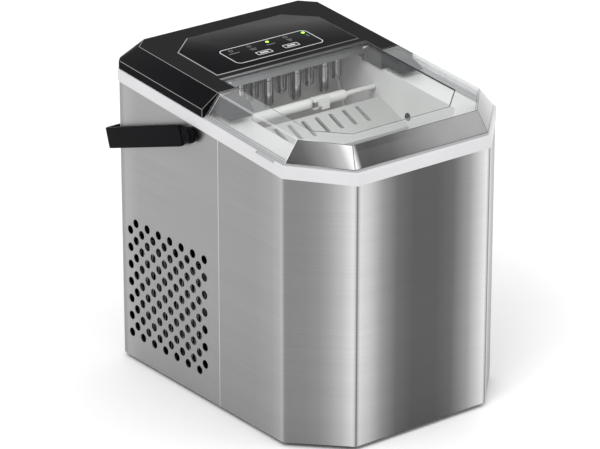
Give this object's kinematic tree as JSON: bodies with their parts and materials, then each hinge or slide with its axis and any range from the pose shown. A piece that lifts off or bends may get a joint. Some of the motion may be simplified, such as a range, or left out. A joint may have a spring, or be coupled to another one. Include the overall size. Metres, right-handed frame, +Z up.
{
  "type": "countertop ice maker",
  "caption": "Countertop ice maker with a brushed steel body, bevelled front corners, sloping clear lid, black control cover, side vents and a folding carrying handle.",
  "frame": {"origin": "on the floor under the middle of the whole machine, folded handle included", "axes": "+Z up, the front faces -Y, +X points right as seen from the front"},
  "size_m": [0.2404, 0.2888, 0.2848],
  "materials": {
    "steel": "brushed stainless sheet, horizontal grain",
    "silver_plastic": "satin silver-white moulding",
    "black_gloss": "gloss black moulding",
    "black_plastic": "satin black moulding",
    "grey_plastic": "dark grey moulding",
    "clear_plastic": "clear moulded plastic",
    "white_plastic": "white food-safe moulding",
    "rubber": "soft black rubber",
    "aluminium": "plain aluminium",
    "plated_metal": "nickel-plated fingers",
    "copper": null,
    "black_paint": "black enamelled steel",
    "circuit_board": "green circuit board",
    "green_light": "tinted light window",
    "hose": "translucent silicone hose"
  },
  "bodies": {
    "housing": {"base_pan": "black_plastic", "foot_rear_left": "rubber", "foot_rear_right": "rubber", "foot_front_left": "rubber", "foot_front_right": "rubber", "front_shell": "steel", "rear_shell": "steel", "top_rim": "silver_plastic", "control_cover": "black_gloss", "control_panel": "black_gloss", "control_board": "circuit_board", "hinge_block_left": "grey_plastic", "hinge_block_right": "grey_plastic", "lid_pin_left": "aluminium", "lid_pin_right": "aluminium", "handle_pivot_left": "black_plastic", "handle_pivot_right": "black_plastic", "tank_liner": "white_plastic", "ice_ramp": "white_plastic", "ice_sensor": "black_plastic", "evaporator_tube": "copper", "tray_motor": "aluminium", "compressor": "black_paint", "condenser": "aluminium", "fan_frame": "black_plastic", "fan_motor": "aluminium", "suction_line": "copper", "discharge_line": "copper", "water_pump": "white_plastic", "pump_hose": "hose", "drain_tube": "white_plastic", "power_board": "circuit_board", "power_inlet": "black_plastic", "led_window_1": "green_light", "led_window_2": "green_light", "led_window_3": "green_light", "led_window_4": "green_light", "led_window_5": "green_light", "freezing_finger_1": "plated_metal", "freezing_finger_2": "plated_metal", "freezing_finger_3": "plated_metal", "freezing_finger_4": "plated_metal", "freezing_finger_5": "plated_metal", "freezing_finger_6": "plated_metal", "freezing_finger_7": "plated_metal", "freezing_finger_8": "plated_metal", "freezing_finger_9": "plated_metal"},
    "handle": {"handle": "black_plastic"},
    "lid": {"lid": "clear_plastic"},
    "fan": {"fan_blade": "black_plastic"},
    "tray": {"water_tray": "white_plastic"},
    "shovel": {"ice_shovel": "white_plastic"},
    "power_key": {"power_button": "grey_plastic"},
    "select_key": {"select_button": "grey_plastic"},
    "drain_plug": {"drain_plug": "rubber"},
    "basket": {"ice_basket": "white_plastic"}
  },
  "joints": [
    {"name": "handle_swing", "type": "hinge", "parent": "housing", "child": "handle", "pos_m": [0, 0.02082, 0.2393], "axis": [1, 0, 0], "range_deg": [0, 115]},
    {"name": "lid_hinge", "type": "hinge", "parent": "housing", "child": "lid", "pos_m": [0, 0.02482, 0.27347], "axis": [-1, 0, 0], "range_deg": [0, 100]},
    {"name": "fan_spin", "type": "hinge", "parent": "housing", "child": "fan", "pos_m": [-0.08, 0.06782, 0.0533], "axis": [1, 0, 0], "continuous": true},
    {"name": "tray_tilt", "type": "hinge", "parent": "housing", "child": "tray", "pos_m": [0, 0.07781, 0.2496], "axis": [-1, 0, 0], "range_deg": [0, 68.7]},
    {"name": "shovel_swing", "type": "hinge", "parent": "housing", "child": "shovel", "pos_m": [0, 0.02031, 0.23844], "axis": [-1, 0, 0], "range_deg": [0, 55]},
    {"name": "power_button_press", "type": "slide", "parent": "housing", "child": "power_key", "axis": [0, 0, -1], "range_m": [0, 0.0006], "stiffness_N_per_m": 300},
    {"name": "select_button_press", "type": "slide", "parent": "housing", "child": "select_key", "axis": [0, 0, -1], "range_m": [0, 0.0006], "stiffness_N_per_m": 300},
    {"name": "drain_plug_pull", "type": "slide", "parent": "housing", "child": "drain_plug", "axis": [1, 0, 0], "range_m": [0, 0.025]},
    {"name": "basket_lift", "type": "slide", "parent": "housing", "child": "basket", "axis": [0, 0, 1], "range_m": [0, 0.05]}
  ],
  "couplings": [
    {"joint": "shovel_swing", "follows": "tray_tilt", "ratio": 0.8}
  ]
}
